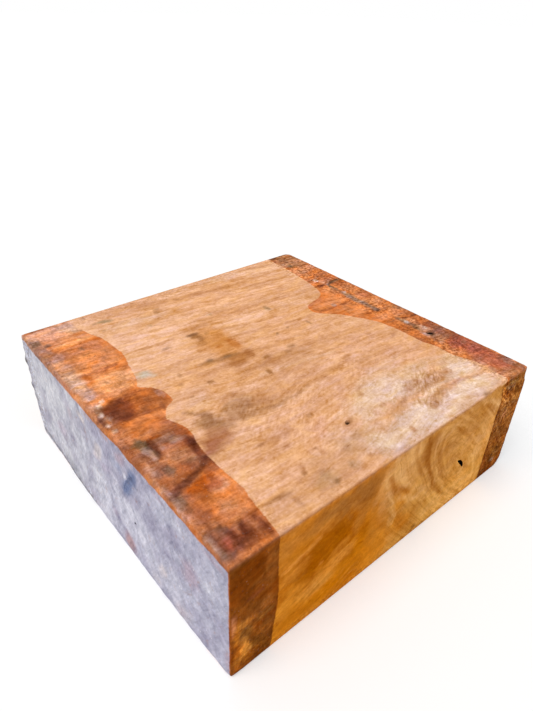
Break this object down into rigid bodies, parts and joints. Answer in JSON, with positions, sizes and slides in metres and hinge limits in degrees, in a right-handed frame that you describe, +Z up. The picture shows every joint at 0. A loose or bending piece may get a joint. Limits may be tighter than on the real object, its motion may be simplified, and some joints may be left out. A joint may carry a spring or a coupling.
{
  "type": "wood turning blank",
  "caption": "Squared hardwood block for turning a shallow bowl, face grain up, with both end-grain faces sealed in wax that has soaked in and darkened a band at each end.",
  "frame": {"origin": "centre of the sawn face that the blank lies on", "axes": "+X along the grain, from one waxed end to the other; +Y across the grain; +Z up, through the thickness"},
  "size_m": [0.15, 0.146, 0.052],
  "materials": {
    "wood": "sawn, bare; wax sealer on both end-grain faces"
  },
  "bodies": {
    "root": {"turning_blank": "wood"}
  },
  "joints": []
}
